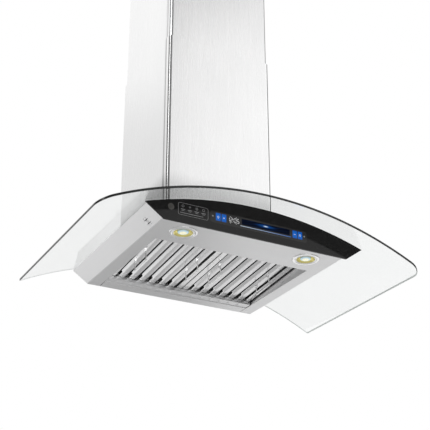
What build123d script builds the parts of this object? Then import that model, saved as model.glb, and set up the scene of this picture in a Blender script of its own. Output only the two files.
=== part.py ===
from build123d import *
import os
from math import asin, atan, cos, degrees, hypot, radians, sin, sqrt, tan

# A chimney range hood with a curved glass canopy, in millimetres.
# X runs to the cook's right, Y from the cook towards the wall, Z up.
# The wall is the plane y = 0. Heights are counted from the flat underside of the body,
# and save() moves every piece so that the origin is the middle of the four wall bolts.

# Driving dimensions
glass_width = 900.0
glass_overhang = 76.0
glass_thickness = 6.0
glass_wall_gap = 24.0
glass_front_corner = 36.0
glass_rear_corner = 5.0
arch_radius = 970.0
crown_height = 79.0
gasket_thickness = 1.0

sheet = 1.2
base_width = 511.0
top_width = 600.0
body_wall_gap = 17.0
body_front = 499.0

fascia_standoff = 9.0
fascia_thickness = 4.0
fascia_drop = 7.0
fascia_base_width = 519.0
fascia_top_width = 617.0
fascia_arch_gap = 0.5

chimney_width = 323.0
chimney_depth = 309.0
chimney_wall = 1.0
chimney_bend = 9.0
chimney_return = 25.0
chimney_seam_gap = 1.2
chimney_notch_gap = 4.0
chimney_hole_margin = 21.5
chimney_hole_rear = 22.0
chimney_hole_front = 19.0
lower_chimney_top = 671.0
section_gap = 2.0
upper_chimney_top = 1071.0
upper_chimney_length = 560.0

hang_height = 210.0
wall_bolt_x = 200.0
wall_bolt_z = 120.0
wall_bolt_hole = 4.0
plate_half_width = 120.0
plate_low = 90.0
plate_high = 330.0

opening_width = 442.0
opening_front = 379.0
rim_front_height = 20.6
rim_slope = 0.0619
rim_least_height = 0.3
lamp_x = 176.8
lamp_from_opening = 63.6
lamp_hole = 32.0
lamp_clearance = 0.4
lamp_bezel_lap = 4.0
lamp_flange = 1.6
lamp_dish = 24.0
lamp_lens = 14.6

filter_gap = 3.0
filter_side_gap = 3.5
filter_front_gap = 6.0
filter_depth = 14.0
filter_behind_hinge = 30.0
filter_tilt = 4.585
hinge_y = 81.5
hinge_z = 11.77
frame_sheet = 1.0
slot_width = 6.0
baffle_count = 6
lattice_margin = 15.0
baffle_sheet = 0.8
slot_rear = 1.0
slot_front_margin = 15.0
baffle_lap = 4.0

handle_wire = 1.6
handle_span = 62.0
handle_drop = 26.0
handle_y = 136.4
handle_pivot_drop = 5.0
clip_side = 5.0
drain_hole = 1.2
surround_height = 46.0
pin_clearance = 0.05

tray_front = 81.0
tray_step = 54.5
tray_height = 6.2
tray_step_height = 1.2
tray_gap = 1.5
tray_sheet = 1.0
tray_filter_gap = 0.7
dimple_low_radius = 3.0
dimple_high_radius = 7.0
dimple_height = 1.1

deck_margin = 13.0
deck_sheet = 1.5
blower_y = 150.0
blower_lift = 117.5
scroll_half = 60.0
scroll_start = 88.0
scroll_growth = 40.0
scroll_sheet = 1.5
cutoff_angle = 15.0
wheel_radius = 80.0
wheel_half = 50.0
blade_count = 36
shaft_radius = 4.0
collar_radius = 75.0
collar_wall = 1.2
collar_height = 54.0
flap_pin = 1.5
motor_back = 59.0
glass_screw_x = 230.0
glass_screw_rear = 90.0
glass_screw_front = 29.0
body_screw_x = 90.0
body_screw_low = 30.0
body_screw_below_deck = 4.63

# The controls let into the fascia
panel_x = 1.5
panel_z = 27.5
panel_length = 276.0
panel_height = 31.0
panel_depth = 1.0
inlay = 0.5
key_wide = 13.0
key_tall = 20.5
clock_x = -73.0
clock_z = 29.0
digit_pitch = 8.4
sensor_x = -241.8
sensor_z = 28.8
label_x = -182.6
label_z = 29.0
label_wide = 81.0
label_tall = 32.0
label_pitch = 18.5

# Worked out from the driving dimensions
glass_depth = body_front + glass_overhang - glass_wall_gap
fascia_front = body_front + fascia_standoff
lamp_barrel = lamp_hole - lamp_clearance
lamp_bezel = lamp_hole + lamp_bezel_lap
lamp_y = opening_front + lamp_from_opening
chimney_hole_half = chimney_width / 2 - chimney_hole_margin
deck_half = chimney_hole_half + deck_margin
upper_outset = -chimney_wall - section_gap
arch_centre = crown_height - arch_radius
body_radius = arch_radius - gasket_thickness
base_half = base_width / 2
top_half = top_width / 2
side_rise = arch_centre + sqrt(body_radius**2 - top_half**2)
side_run = top_half - base_half
side_length = hypot(side_run, side_rise)
fascia_rise = arch_centre + sqrt((arch_radius - fascia_arch_gap) ** 2 - (fascia_top_width / 2) ** 2)
body_rear = body_wall_gap
opening_half = opening_width / 2
filter_width = opening_half - filter_side_gap - filter_gap / 2
filter_centre = (filter_width + filter_gap) / 2
slot_count = baffle_count + 1
baffle_width = (filter_width - 2 * lattice_margin - slot_count * slot_width) / baffle_count
baffle_pitch = baffle_width + slot_width
filter_front = (opening_front - filter_front_gap - hinge_y) / cos(radians(filter_tilt))
slot_front = filter_front - slot_front_margin
lattice_half = (slot_count * slot_width + baffle_count * baffle_width) / 2
deck_top = arch_centre + sqrt((body_radius - sheet) ** 2 - deck_half**2)
blower_z = deck_top + blower_lift
scroll_top = blower_z + 100
outlet_wide = scroll_start + scroll_growth
outlet_front = -blower_y - outlet_wide
outlet_rear = -blower_y + scroll_start * sin(radians(cutoff_angle))
collar_y = (outlet_front + outlet_rear) / 2
collar_base = scroll_top + scroll_sheet
flap_z = collar_base + 16
upper_chimney_bottom = upper_chimney_top - upper_chimney_length


def save(name, *shapes):
    """Writes one node, shifted so that the wall bolts' middle is the origin."""
    solids = [solid for shape in shapes for solid in shape.solids()]
    shifted = [Pos(0, 0, -hang_height) * solid for solid in solids]
    export_step(shifted[0] if len(shifted) == 1 else Compound(shifted), f"parts/{name}.step")


def block(x, y, z):
    """A box from its (low, high) pairs."""
    size = [high - low for low, high in (x, y, z)]
    middle = [(high + low) / 2 for low, high in (x, y, z)]
    return Pos(*middle) * Box(*size)


def rod(radius, start, end):
    """A round bar between two points."""
    start, end = Vector(*start), Vector(*end)
    axis = end - start
    return Plane(start, z_dir=axis) * Cylinder(radius, axis.length, align=(Align.CENTER, Align.CENTER, Align.MIN))


def along_y(outline, near, far):
    """Extrudes an outline of (x, z) from y = -near back to y = -far, far being further from the wall."""
    return Pos(0, -near, 0) * extrude(Plane.XZ * outline, far - near)


def arch(radius):
    """The round bar, along Y, whose top is the arch of this radius."""
    length = 2 * glass_depth + 200
    return Pos(0, -glass_depth / 2, arch_centre) * Rot(90, 0, 0) * Cylinder(radius, length)


def mirror_x(shape):
    return mirror(shape, about=Plane.YZ)


# Body
def body_block(side=0.0, ends=0.0, bottom=0.0, top=0.0):
    """The body's outer form, with its sides, ends, bottom and top moved inwards."""
    slope = atan(side_rise / side_run)
    reach = crown_height + 20
    inward = side / sin(slope)
    low = base_half + bottom * side_run / side_rise - inward
    high = base_half + reach * side_run / side_rise - inward
    outline = Polygon((-low, bottom), (low, bottom), (high, reach), (-high, reach), align=None)
    prism = along_y(outline, body_rear + ends, body_front - ends)
    return prism & arch(body_radius - top)


def chimney_hole():
    """The opening in the body's top, under the chimney."""
    half = chimney_hole_half
    return block((-half, half), (-chimney_depth + chimney_hole_front, -chimney_hole_rear), (40, 120))


def glass_screw_places():
    for x in (-glass_screw_x, glass_screw_x):
        for y in (-body_front + glass_screw_front, -glass_screw_rear):
            yield Pos(0, y, arch_centre) * Rot(0, degrees(asin(x / arch_radius)), 0)


def rear_screw_places():
    heights = (body_screw_low, deck_top - body_screw_below_deck)
    return [(x, z) for x in (-body_screw_x, body_screw_x) for z in heights]


def make_body_shell():
    outer = body_block(side=sheet, bottom=sheet)
    inner = body_block(side=sheet, ends=sheet, top=sheet)
    shell = outer - inner - chimney_hole()
    shell -= block((-200, 200), (-body_front - 1, -body_front + 5), (16, 52))
    for place in glass_screw_places():
        shell -= place * Pos(0, 0, arch_radius) * Cylinder(3.2, 20)
    for x, z in rear_screw_places():
        shell -= rod(2.1, (x, -body_rear - 5, z), (x, 0, z))
    return shell


def vent_pattern():
    """Slots, dots and a broken ring, as cutters around their own centre, in the side panel's plane."""
    cutters = [Pos(0, side * 5.5, 0) * Rot(0, 0, 90) * Box(2.0, 18, 8) for side in (-1, 1)]
    cutters += [Pos(x, y, 0) * Cylinder(1.1, 8) for x in (-4.5, 4.5) for y in (-10.5, 10.5)]
    ring = Cylinder(3.6, 8) - Cylinder(2.2, 8)
    cutters.append(ring - Rot(0, 0, 45) * Box(12, 1.6, 8) - Rot(0, 0, -45) * Box(12, 1.6, 8))
    return cutters


def make_side_panel():
    """The left end panel, which leans out from the underside to the glass."""
    strips = body_block(bottom=sheet) - body_block(side=sheet, bottom=-1, ends=-1, top=-5)
    panel = strips.solids().sort_by(Axis.X)[0]
    share = 19 / side_length
    middle = (-base_half - share * side_run, -body_front + 59.3, share * side_rise)
    face = Plane(middle, x_dir=(0, 1, 0), z_dir=(-side_rise, 0, -side_run))
    for cutter in vent_pattern():
        panel -= face * cutter
    return panel


def flange_line(y):
    """Height of the turned-up rim of the filter opening."""
    return max(sheet + rim_least_height, rim_front_height - rim_slope * (opening_front - y))


def make_bottom_panel():
    panel = body_block() & block((-400, 400), (-600, 0), (0, sheet))
    panel -= block((-opening_half, opening_half), (-opening_front, 0), (-1, 5))
    for x in (-lamp_x, lamp_x):
        panel -= Pos(x, -lamp_y, 0) * Cylinder(lamp_hole, 10)
    wedge = Polygon(
        (-opening_front, 0), (-tray_front, 0), (-tray_front, flange_line(tray_front)),
        (-opening_front, flange_line(opening_front)), align=None,
    )
    rim = extrude(Plane.YZ * wedge, sheet)
    lip = block((-opening_half - sheet, opening_half + sheet), (-opening_front - sheet, -opening_front),
                (0, flange_line(opening_front)))
    return panel + Pos(opening_half, 0, 0) * rim + Pos(-opening_half - sheet, 0, 0) * rim + lip


def make_filter_surround():
    """Three inner walls that close the body in around the filters."""
    inside = opening_half + sheet + 0.2
    outside = inside + sheet
    wall_front = opening_front + sheet + 0.2
    outer = block((-outside, outside), (-wall_front - sheet, -body_rear - sheet), (sheet, surround_height))
    inner = block((-inside, inside), (-wall_front, 0), (0, 60))
    return outer - inner


def make_filter_catches():
    """Leaf springs on the surround's front wall that grip the filters' front edge."""
    wall = opening_front + sheet + 0.2
    leaves = []
    for x in [side * filter_centre + step for side in (-1, 1) for step in (-60, 60)]:
        foot = block((x - 8, x + 8), (-wall, -wall + 0.6), (30, 44))
        rise = block((x - 8, x + 8), (-wall, -wall + 2.6), (44, 44.6))
        tongue = block((x - 8, x + 8), (-wall + 2.6, -wall + 3.2), (34, 44.6))
        leaves.append(foot + rise + tongue)
    return leaves


def make_motor_deck():
    deck = block((-deck_half, deck_half), (-300, -20), (deck_top - deck_sheet, deck_top))
    for side in (-1, 1):
        deck -= Pos(side * 112, -160, deck_top) * Box(50, 200, 10)
    deck -= Pos(0, -33, deck_top) * Cylinder(8.0, 10)
    return deck


# Canopy
def canopy_plan():
    rear = -glass_wall_gap
    front = rear - glass_depth
    half = glass_width / 2
    plan = block((-half, half), (front, rear), (-60, 120))
    plan = fillet(plan.edges().filter_by(Axis.Z).group_by(Axis.Y)[0], glass_front_corner)
    plan = fillet(plan.edges().filter_by(Axis.Z).group_by(Axis.Y)[-1], glass_rear_corner)
    notch = chimney_width / 2 + chimney_notch_gap
    cut = block((-notch, notch), (-chimney_depth - chimney_notch_gap, 50), (-80, 140))
    return plan - fillet(cut.edges().filter_by(Axis.Z).group_by(Axis.Y)[0], 12)


def make_glass_canopy():
    glass = canopy_plan() & (arch(arch_radius + glass_thickness) - arch(arch_radius))
    for place in glass_screw_places():
        glass -= place * Pos(0, 0, arch_radius) * Cylinder(4.5, 40)
    return glass


def make_glass_gaskets():
    pads = []
    for place in glass_screw_places():
        pad = place * Pos(0, 0, arch_radius) * (Box(40, 24, 20) - Cylinder(3.2, 40))
        pads.append(pad & (arch(arch_radius) - arch(body_radius)))
    return pads


def make_glass_screws():
    """Domed caps on studs, with a nut inside the body."""
    screws = []
    for place in glass_screw_places():
        base = arch_radius + glass_thickness
        dome = Pos(0, 0, base + 0.8) * (Cylinder(9, 3.2, align=(Align.CENTER, Align.CENTER, Align.MIN)))
        dome = fillet(dome.edges().group_by(Axis.Z)[-1], 2.6)
        stud = Pos(0, 0, base - 8) * Cylinder(3.0, 17.7)
        nut = Pos(0, 0, body_radius - sheet - 3.4) * extrude(RegularPolygon(5.5, 6), 2.5)
        screws.append(place * (dome + stud + nut))
    return screws


# Fascia
def fascia_block(inset, near, far):
    """The fascia's outline, moved inwards, between two distances from the wall."""
    slope = atan((fascia_rise + fascia_drop) / ((fascia_top_width - fascia_base_width) / 2))
    reach = crown_height + 20
    run = (fascia_top_width - fascia_base_width) / 2 / (fascia_rise + fascia_drop)
    low_z = inset - fascia_drop
    shift = inset / sin(slope)
    low = fascia_base_width / 2 + (low_z + fascia_drop) * run - shift
    high = fascia_base_width / 2 + (reach + fascia_drop) * run - shift
    outline = Polygon((-low, low_z), (low, low_z), (high, reach), (-high, reach), align=None)
    return along_y(outline, near, far) & arch(arch_radius - fascia_arch_gap - inset)


def front_plate(outline, x, z, depth, sunk=0.0):
    """A thin flat piece let into the fascia's front."""
    return Pos(x, -fascia_front + sunk + depth, z) * extrude(Plane.XZ * outline, depth)


def ring(outer, width):
    return Circle(outer) - Circle(outer - width)


def key_places():
    return [(-114.7, 29), (-98.9, 29), (103.9, 29), (119.3, 29)]


def dot_places():
    return [(-129.5, 29), (132.0, 29)]


def make_display_panel(front_pieces):
    """The tinted film, with a recess for each piece let into it."""
    panel = front_plate(RectangleRounded(panel_length, panel_height, 7), panel_x, panel_z, panel_depth)
    for piece in [*key_blocks(), *front_pieces]:
        panel -= piece
    return panel


def key_blocks():
    return [front_plate(Rectangle(key_wide, key_tall), x, z, inlay) for x, z in key_places()]


def make_display_screen():
    screen = front_plate(Rectangle(138.3, 15.5), 19.8, 30.9, inlay)
    light_line = front_plate(Rectangle(145.7, 1.3), 20.0, 19.3, inlay)
    return [screen, light_line]


def make_touch_keys():
    """Four square keys, each with a sign let into it: a lamp, a plus, a minus and a power ring."""
    return [key - sign for key, sign in zip(key_blocks(), key_signs())]


def key_signs():
    depth = 0.25
    lamp = ring(2.6, 0.8) + Pos(0, -4) * Rectangle(2.4, 0.9)
    plus = Rectangle(5, 0.9) + Rectangle(0.9, 5)
    minus = Rectangle(5, 0.9)
    power = ring(2.8, 0.8) - Pos(0, 2.5) * Rectangle(1.6, 2.4) + Pos(0, 2.2) * Rectangle(0.8, 2.6)
    return [front_plate(sign, x, z, depth) for (x, z), sign in zip(key_places(), (lamp, plus, minus, power))]


def digit(lit):
    """Seven bars in the usual order: top, upper left, upper right, middle, lower left, lower right, bottom."""
    wide = 5.6
    tall = 11.0
    bar = 1.2
    bar_gap = 0.3
    flat = Rectangle(wide - bar - bar_gap, bar)
    upright = Rectangle(bar, tall / 2 - bar - bar_gap)
    bars = [
        Pos(0, tall / 2) * flat, Pos(-wide / 2, tall / 4) * upright, Pos(wide / 2, tall / 4) * upright,
        flat, Pos(-wide / 2, -tall / 4) * upright, Pos(wide / 2, -tall / 4) * upright, Pos(0, -tall / 2) * flat,
    ]
    return [piece for piece, on in zip(bars, lit) if on == "1"]


def make_clock_digits():
    shapes = {"1": "0010010", "2": "1011101", "0": "1110111", "5": "1101011"}
    pieces = []
    for index, name in enumerate("1205"):
        x = clock_x + (index - 1.5) * digit_pitch + (0.8 if index > 1 else -0.8)
        pieces += [front_plate(bar, x, clock_z, inlay) for bar in digit(shapes[name])]
    arrow = Triangle(a=3.6, b=2.4, c=2.4)
    for x in (clock_x - digit_pitch, clock_x + digit_pitch):
        pieces.append(front_plate(arrow, x, clock_z + 8.2, inlay))
        pieces.append(front_plate(Rot(0, 0, 180) * arrow, x, clock_z - 8.2, inlay))
    pieces += [front_plate(Circle(0.6), clock_x, clock_z + lift, inlay) for lift in (-2.0, 2.0)]
    return pieces


def make_indicator_dots():
    return [front_plate(Circle(2.2), x, z, inlay) for x, z in dot_places()]


def make_sensor_window():
    return front_plate(Circle(8.5), sensor_x, sensor_z, inlay)


def make_mode_icons():
    """An outlined row of four plain signs, each over a short bar, above one long bar."""
    line = 0.8
    outline = RectangleRounded(label_wide, label_tall, 5)
    outline -= RectangleRounded(label_wide - 2 * line, label_tall - 2 * line, 5 - line)
    signs = [
        ring(3.4, line), Rectangle(6.8, line) + Rectangle(line, 6.8),
        ring(3.4, line) + Circle(1.1), RectangleRounded(6.4, 6.4, 1.5) - RectangleRounded(4.8, 4.8, 0.8),
    ]
    pieces = [front_plate(outline, label_x, label_z, inlay)]
    for index, sign in enumerate(signs):
        x = label_x + (index - 1.5) * label_pitch
        pieces.append(front_plate(sign, x, label_z + 8.0, inlay))
        pieces.append(front_plate(Rectangle(11.5, 1.5), x, label_z - 0.5, inlay))
        pieces.append(front_plate(Rectangle(7.5, 1.1), x, label_z - 4.0, inlay))
    pieces.append(front_plate(Rectangle(62.0, 1.3), label_x - 4.0, label_z - 10.0, inlay))
    return pieces


def make_fascia_glass(sunk_pieces):
    glass = fascia_block(0, fascia_front - fascia_thickness, fascia_front)
    panel = RectangleRounded(panel_length, panel_height, 7)
    glass -= front_plate(panel, panel_x, panel_z, panel_depth)
    for piece in sunk_pieces:
        glass -= piece
    return glass


def make_fascia_bracket():
    """A shallow pan between the body's front wall and the fascia glass."""
    back = fascia_front - fascia_thickness
    pan = fascia_block(7, body_front, back) - fascia_block(8.2, body_front + sheet, back + 1)
    return pan - block((-60, 60), (-back - 1, -body_front + 1), (22, 40))


def make_control_board():
    plate = body_front + sheet
    board = block((-140, 140), (-plate - 1.6, -plate), (8, 46)) - block((-62, 62), (-600, -400), (20, 42))
    return board


# Chimney
def section_back(outset):
    """The rear face of a section: the inner one stands a little further off the wall than its sides do."""
    return outset * 1.5


def chimney_section(outset, seam, low, high, bottom_arch):
    """The front half and the rear half of one chimney section; outset is negative for the inner section."""
    half = chimney_width / 2 + outset
    front = -chimney_depth - outset
    back = section_back(outset)
    tube = block((-half, half), (front, back), (low, high))
    tube = fillet(tube.edges().filter_by(Axis.Z).group_by(Axis.Y)[0], chimney_bend)
    core = block((-half + chimney_wall, half - chimney_wall), (front + chimney_wall, back - chimney_wall),
                 (low - 5, high + 5))
    core = fillet(core.edges().filter_by(Axis.Z).group_by(Axis.Y)[0], chimney_bend - chimney_wall)
    tube -= core
    if bottom_arch:
        tube -= arch(body_radius + 0.3)
    split = front + seam
    ahead = tube & block((-half - 1, half + 1), (front - 1, split), (low - 1, high + 1))
    behind = tube & block((-half - 1, half + 1), (split + chimney_seam_gap, back + 1), (low - 1, high + 1))
    return ahead, behind


def seam_tongues(outset, seam, low, high):
    """Flat tongues inside the walls that join the rear half to the front half behind the seam."""
    inner = chimney_width / 2 + outset - chimney_wall
    split = -chimney_depth - outset + seam
    tongue = block((inner - chimney_wall, inner), (split - 10, split + 10), (low, high))
    return tongue, mirror_x(tongue)


def make_lower_chimney():
    front, rear = chimney_section(0, chimney_return, 40, lower_chimney_top, True)
    for tongue in seam_tongues(0, chimney_return, 90, 480):
        rear += tongue
    window = plate_half_width + 5
    rear -= block((-window, window), (-10, 10), (0, plate_high + 5))
    return front, rear


def bracket_holes():
    return [(x, upper_chimney_top - 22) for x in (-100, 100)]


def side_screw_places():
    return [(side, -chimney_depth * share, upper_chimney_top - 22) for side in (-1, 1) for share in (0.08, 0.2)]


def make_upper_chimney():
    front, rear = chimney_section(upper_outset, chimney_return, upper_chimney_bottom, upper_chimney_top, False)
    low, high = upper_chimney_bottom + 10, upper_chimney_top - 10
    for tongue in seam_tongues(upper_outset, chimney_return, low, high):
        rear += tongue
    for x, z in bracket_holes():
        rear -= rod(3.5, (x, -20, z), (x, 20, z))
    half = chimney_width / 2 + upper_outset
    for side, y, z in side_screw_places():
        rear -= rod(2.1, (side * (half - 10), y, z), (side * (half + 10), y, z))
    return front, rear


def make_top_bracket():
    """A U-shaped strap inside the top of the upper section; its back is screwed to the wall."""
    half = chimney_width / 2 + upper_outset - chimney_wall
    back = section_back(upper_outset) - chimney_wall
    low, high = upper_chimney_top - 37, upper_chimney_top - 7
    strap = block((-half, half), (back - 80, back), (low, high))
    strap -= block((-half + 2, half - 2), (back - 90, back - 2), (low - 1, high + 1))
    for x, z in bracket_holes():
        strap -= rod(3.2, (x, -20, z), (x, 20, z))
    for side, y, z in side_screw_places():
        strap -= rod(1.9, (side * (half - 10), y, z), (side * (half + 10), y, z))
    return strap


def make_bracket_screws():
    half = chimney_width / 2 + upper_outset
    screws = []
    for side, y, z in side_screw_places():
        head = rod(4.0, (side * half, y, z), (side * (half + 1.6), y, z))
        shank = rod(1.8, (side * (half - 7), y, z), (side * half, y, z))
        screws.append(head + shank)
    return screws


# Wall plate and fixings
def make_hanging_plate():
    """A wall plate that steps out at its foot to the body's rear wall."""
    wide = plate_half_width
    plate = block((-wide, wide), (-2, 0), (plate_low - 2, plate_high))
    shelf = block((-wide, wide), (-body_rear, 0), (plate_low - 2, plate_low))
    foot = block((-wide, wide), (-body_rear, -body_rear + 2), (16, plate_low))
    plate = plate + shelf + foot
    for x in (-wall_bolt_x / 2, wall_bolt_x / 2):
        for z in (hang_height - wall_bolt_z / 2, hang_height + wall_bolt_z / 2):
            plate -= rod(wall_bolt_hole, (x, -5, z), (x, 5, z))
    for x, z in rear_screw_places():
        plate -= rod(2.1, (x, -body_rear - 5, z), (x, 0, z))
    return plate


def make_body_screws():
    """Pan-head screws that hold the body to the wall plate's foot."""
    screws = []
    for x, z in rear_screw_places():
        face = -body_rear + 2
        head = rod(4.2, (x, face, z), (x, face + 2.2, z))
        shank = rod(2.0, (x, -body_rear - 8, z), (x, face, z))
        screws.append(head + shank)
    return screws


# Lamps
def make_lamp(x):
    """The bezel, its dished reflector, the nearly flush lens and the finned heat sink behind them."""
    dish_low = 0.2 - lamp_flange
    dish_seat = 3.6
    dish_rise = dish_seat - dish_low
    dish_middle = (dish_seat + dish_low) / 2
    barrel_inside = lamp_barrel - 1.6

    flange = Pos(0, 0, -lamp_flange / 2) * Cylinder(lamp_bezel, lamp_flange) - Cylinder(lamp_dish, 20)
    rims = flange.edges().filter_by(GeomType.CIRCLE).group_by(Axis.Z)[0]
    flange = fillet(rims.sort_by(SortBy.RADIUS)[-1], 1.2)
    groove = Pos(0, 0, -lamp_flange) * (Cylinder(lamp_bezel - 6, 1.0) - Cylinder(lamp_bezel - 8, 1.0))
    barrel = Pos(0, 0, 7) * (Cylinder(lamp_barrel, 14) - Cylinder(barrel_inside, 14))
    web = Pos(0, 0, 0.6) * (Cylinder(lamp_barrel, 1.2) - Cylinder(lamp_dish, 1.2))
    bezel = flange - groove + barrel + web

    outside = Cone(lamp_dish, lamp_lens + 1.2, dish_rise)
    inside = Cone(lamp_dish - 0.8, lamp_lens + 0.2, dish_rise + 0.01)
    dish = Pos(0, 0, dish_middle) * (outside - inside)
    dish += Pos(0, 0, dish_seat + 0.5) * (Cylinder(barrel_inside - 0.5, 1.0) - Cylinder(lamp_lens + 0.2, 1.0))

    lens = Pos(0, 0, 1.7) * Cylinder(lamp_lens, 5.8)
    lens = fillet(lens.edges().group_by(Axis.Z)[0], 3.5)

    sink = Pos(0, 0, 11.6) * Cylinder(barrel_inside - 0.5, 14)
    for index in range(7):
        sink -= Pos((index - 3) * 8, 0, 14.2) * Box(3.0, 70, 10)
    place = Pos(x, -lamp_y, 0)
    return [place * piece for piece in (bezel, dish, lens, sink)]


# Filters
def filter_place(side):
    """Where a filter's hinge line is; local -Y runs up the filter, away from the wall."""
    return Location((side * filter_centre, -hinge_y, hinge_z), (-filter_tilt, 0, 0))


def make_filter_frame():
    half = filter_width / 2
    rear = filter_behind_hinge
    t = frame_sheet
    frame = block((-half, half), (-filter_front, rear), (0, filter_depth))
    frame -= block((-half + t, half - t), (-filter_front + t, rear - t), (t, filter_depth - t))
    frame -= block((-lattice_half, lattice_half), (-slot_front, -slot_rear), (-1, filter_depth + 1))
    for index in range(slot_count):
        frame -= Pos((index - baffle_count / 2) * baffle_pitch, rear - 8, 0) * Cylinder(drain_hole, 3 * t)
    return frame


def baffle_channel(width, height, crown, wall):
    """A U channel's section, opening upwards, with a slightly crowned bottom."""
    def outline(inset):
        x, low = width / 2 - inset, inset
        bottom = ThreePointArc((-x, low + crown), (0, low), (x, low + crown))
        top = Polyline((x, low + crown), (x, height), (-x, height), (-x, low + crown))
        return make_face([*bottom.edges(), *top.edges()])
    return outline(0) - outline(wall)


def make_lower_baffles():
    section = baffle_channel(baffle_width, 8.0, 1.8, baffle_sheet)
    near, far = slot_rear - baffle_lap, slot_front + baffle_lap
    channels = []
    for index in range(baffle_count):
        x = (index - (baffle_count - 1) / 2) * baffle_pitch
        channel = along_y(section, near, far)
        cut = Polygon(
            (-14, -near + 1), (-baffle_width / 2 + 5.5, -near + 1), (-baffle_width / 2 + 5.5, -slot_rear - 22),
            (-baffle_width / 2, -slot_rear - 30), (-14, -slot_rear - 30), align=None,
        )
        channels.append(Pos(x, 0, frame_sheet) * (channel - extrude(cut, 10)))
    return channels


def make_upper_baffles():
    section = baffle_channel(slot_width + 12, 7.4, 0.6, baffle_sheet)
    roof = filter_depth - frame_sheet
    near, far = slot_rear - baffle_lap, slot_front + baffle_lap
    channels = []
    for index in range(slot_count):
        x = (index - baffle_count / 2) * baffle_pitch
        channels.append(Pos(x, 0, roof) * mirror(along_y(section, near, far), about=Plane.XY))
    return channels


def handle_places():
    outer = baffle_pitch * (baffle_count - 1) / 2
    return [-outer - clip_side, outer - clip_side]


def make_handle_clips(baffles):
    clips = []
    for x in handle_places():
        for end in (-1, 1):
            y = -handle_y + end * handle_span / 2
            clip = block((x - 3, x + 3), (y - 0.9, y + 0.9), (-handle_pivot_drop, frame_sheet + 2.5))
            clip += rod(3, (x, y - 0.9, -handle_pivot_drop), (x, y + 0.9, -handle_pivot_drop))
            clip -= rod(handle_wire + pin_clearance, (x, y - 3, -handle_pivot_drop), (x, y + 3, -handle_pivot_drop))
            for channel in baffles:
                clip -= channel
            clips.append(clip.solids().sort_by(Axis.Z)[0])
    return clips


def make_handle(x):
    """A bent-wire bail; its turned-in ends run in the two clips."""
    reach = handle_span / 2 + 0.9 + 0.6 + handle_wire
    pin = handle_span / 2 - 2.2
    low = -handle_pivot_drop - handle_drop
    high = -handle_pivot_drop
    points = [(-pin, high), (-reach, high), (-reach, low), (reach, low), (reach, high), (pin, high)]
    path = FilletPolyline(*[(x, -handle_y + y, z) for y, z in points], radius=2.2)
    start = Plane(origin=path @ 0, z_dir=path % 0)
    return sweep(start * Circle(handle_wire), path=path)


# Grease tray
def drain_places():
    """Middles of the pressed dimples that lead the filters' drips through, wherever one fits on the shelf."""
    reach = opening_half - tray_gap - dimple_high_radius
    for side in (-1, 1):
        for index in range(slot_count):
            x = side * filter_centre + (index - slot_count / 2) * baffle_pitch
            if abs(x) < reach:
                yield x


def make_grease_tray():
    """A trough along the rear edge, with a raised, dimpled shelf under the filters' rear ends."""
    half = opening_half - tray_gap
    t = tray_sheet
    wall_rear = body_rear + sheet + 0.6
    shelf_low = tray_step_height
    wall_top = hinge_z - (hinge_y - tray_front) * tan(radians(filter_tilt)) - tray_filter_gap
    trough = block((-half, half), (-tray_step, -body_rear), (0, t))
    trough += block((-half, half), (-tray_step, -wall_rear), (0, tray_height))
    trough -= block((-half + t, half - t), (-tray_step - 1, -wall_rear - t), (t, tray_height + 1))
    shelf = block((-half, half), (-tray_front, -tray_step + t), (shelf_low, shelf_low + t))
    wall = block((-half, half), (-tray_front, -tray_front + t), (shelf_low, wall_top))
    riser = block((-half, half), (-tray_step, -tray_step + t), (0, shelf_low + t))
    tray = trough + shelf + wall + riser
    for x in drain_places():
        middle = Pos(x, -(tray_front + tray_step) / 2, shelf_low - dimple_height / 2)
        tray += middle * Cone(dimple_low_radius, dimple_high_radius, dimple_height)
        tray -= middle * Cylinder(drain_hole, 8)
    return tray


# Blower
def scroll_outline(inset):
    """The scroll in (y, z): a growing spiral from the cutoff round to the outlet's front wall."""
    points = []
    start, stop, steps = cutoff_angle, 270.0, 12
    for step in range(steps + 1):
        angle = radians(start + (stop - start) * step / steps)
        radius = scroll_start + scroll_growth * step / steps - inset
        points.append((-blower_y + radius * sin(angle), blower_z + radius * cos(angle)))
    spiral = Spline(*points)
    front, rear = points[-1][0], outlet_rear - inset
    corners = [points[-1], (front, scroll_top), (rear, scroll_top)]
    if inset:
        corners.append((rear, points[0][1]))
    walls = Polyline(*corners, points[0])
    return make_face([*spiral.edges(), *walls.edges()])


def across_x(outline, low, high):
    return Pos(low, 0, 0) * extrude(Plane.YZ * outline, high - low)


def make_scroll_housing():
    outer = across_x(scroll_outline(0), -scroll_half, scroll_half)
    inner = across_x(scroll_outline(scroll_sheet), -scroll_half + scroll_sheet, scroll_half - scroll_sheet)
    inner += block((-scroll_half + scroll_sheet, scroll_half - scroll_sheet),
                   (outlet_front + scroll_sheet, outlet_rear - scroll_sheet), (scroll_top - 5, scroll_top + 5))
    housing = outer - inner
    housing -= rod(64.2, (-100, -blower_y, blower_z), (100, -blower_y, blower_z))
    foot = block((scroll_half, scroll_half + 1.5), (-190, -110), (deck_top, deck_top + 50))
    foot += block((scroll_half, scroll_half + 20), (-190, -110), (deck_top, deck_top + 1.5))
    return housing + foot + mirror_x(foot)


def make_inlet_rings():
    flange = rod(74, (scroll_half, 0, 0), (scroll_half + 1.5, 0, 0))
    throat = rod(64, (wheel_half + 2, 0, 0), (scroll_half, 0, 0))
    bell = flange + throat - rod(58, (0, 0, 0), (100, 0, 0))
    # The feet stand on the scroll's flanks, so the flange is trimmed flat at the bottom.
    bell -= block((scroll_half, 100), (-60, 60), (-100, deck_top + 51 - blower_z))
    right = Pos(0, -blower_y, blower_z) * bell
    return right, mirror_x(right)


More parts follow.
